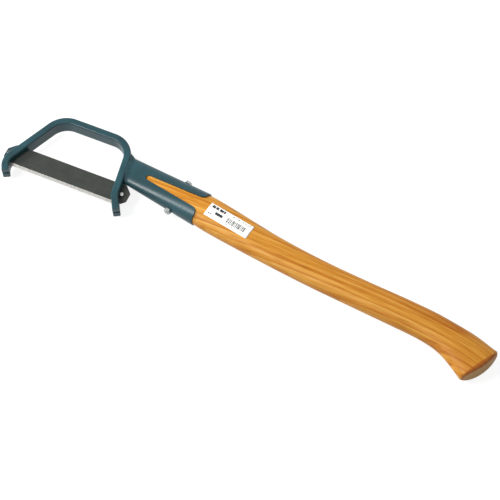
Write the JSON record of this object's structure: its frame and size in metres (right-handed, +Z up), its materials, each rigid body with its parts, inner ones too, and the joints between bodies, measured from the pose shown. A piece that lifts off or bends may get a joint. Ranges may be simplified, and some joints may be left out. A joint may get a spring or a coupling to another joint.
{
  "type": "brush axe",
  "caption": "Brush axe: a steel bow with a thin replaceable strip blade held by pull-out pins, and a curved wooden handle bolted in a sheet steel socket.",
  "frame": {"origin": "on the handle's axis at the middle of the through bolt, where the axe is held or clipped near its balance point; z = 0 is the blade's middle plane", "axes": "+X along the handle towards the butt, +Z up out of the broad side that shows, -Y towards the cutting edge; the axe lies on its side"},
  "size_m": [0.7008, 0.1263, 0.0314],
  "materials": {
    "teal_paint": "satin blue-green stove enamel",
    "blade_steel": "oiled dark spring steel with a bright ground edge",
    "zinc_plate": "dull zinc plate",
    "varnished_wood": "clear satin varnish on straight-grained wood",
    "label_paper": null
  },
  "bodies": {
    "axe": {"bow_frame": "teal_paint", "blade": "blade_steel", "socket": "teal_paint", "socket_weld": "teal_paint", "handle": "varnished_wood", "through_bolt": "zinc_plate", "nut": "zinc_plate", "label": "label_paper"},
    "heel_pin": {"heel_pin": "zinc_plate"},
    "toe_pin": {"toe_pin": "zinc_plate"}
  },
  "joints": [
    {"name": "heel_pin_slide", "type": "slide", "parent": "axe", "child": "heel_pin", "axis": [0, 0, 1], "range_m": [0, 0.012]},
    {"name": "toe_pin_slide", "type": "slide", "parent": "axe", "child": "toe_pin", "axis": [0, 0, 1], "range_m": [0, 0.012]}
  ]
}
